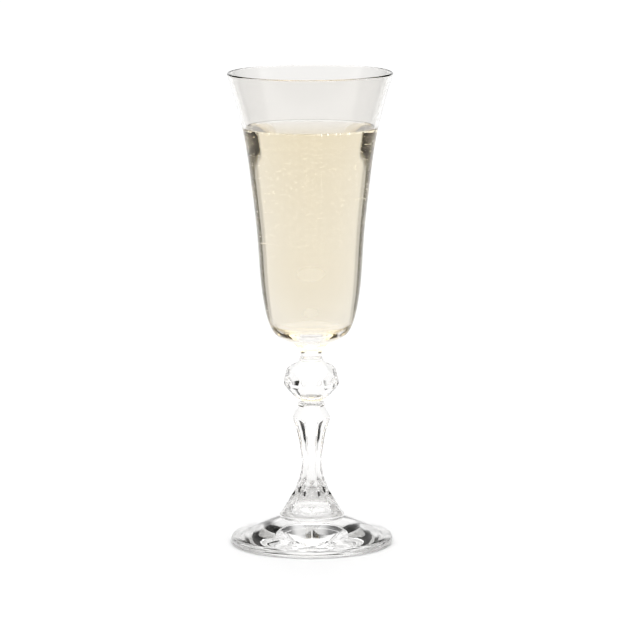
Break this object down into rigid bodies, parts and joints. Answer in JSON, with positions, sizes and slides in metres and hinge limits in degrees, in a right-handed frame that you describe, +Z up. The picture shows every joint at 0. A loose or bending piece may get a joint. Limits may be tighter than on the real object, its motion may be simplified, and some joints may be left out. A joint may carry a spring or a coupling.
{
  "type": "champagne flute",
  "caption": "Tall stemmed drinking glass with a flared bowl, a faceted knop and baluster stem and a wide round foot, filled with sparkling wine.",
  "frame": {"origin": "centre of the ring on which the foot rests, on the table", "axes": "+Z up along the glass's own axis, from the foot to the rim; -Y is the front, where a flat of the stem faces"},
  "size_m": [0.066, 0.066, 0.19],
  "materials": {
    "bowl_glass": "clear, blown and fire-polished",
    "stem_glass": "clear, pressed and polished",
    "wine": "clear pale gold liquid"
  },
  "bodies": {
    "root": {"bowl": "bowl_glass", "upper_collar": "stem_glass", "knop": "stem_glass", "lower_collar": "stem_glass", "stem": "stem_glass", "foot_collar": "stem_glass", "foot": "stem_glass", "champagne": "wine"}
  },
  "joints": []
}
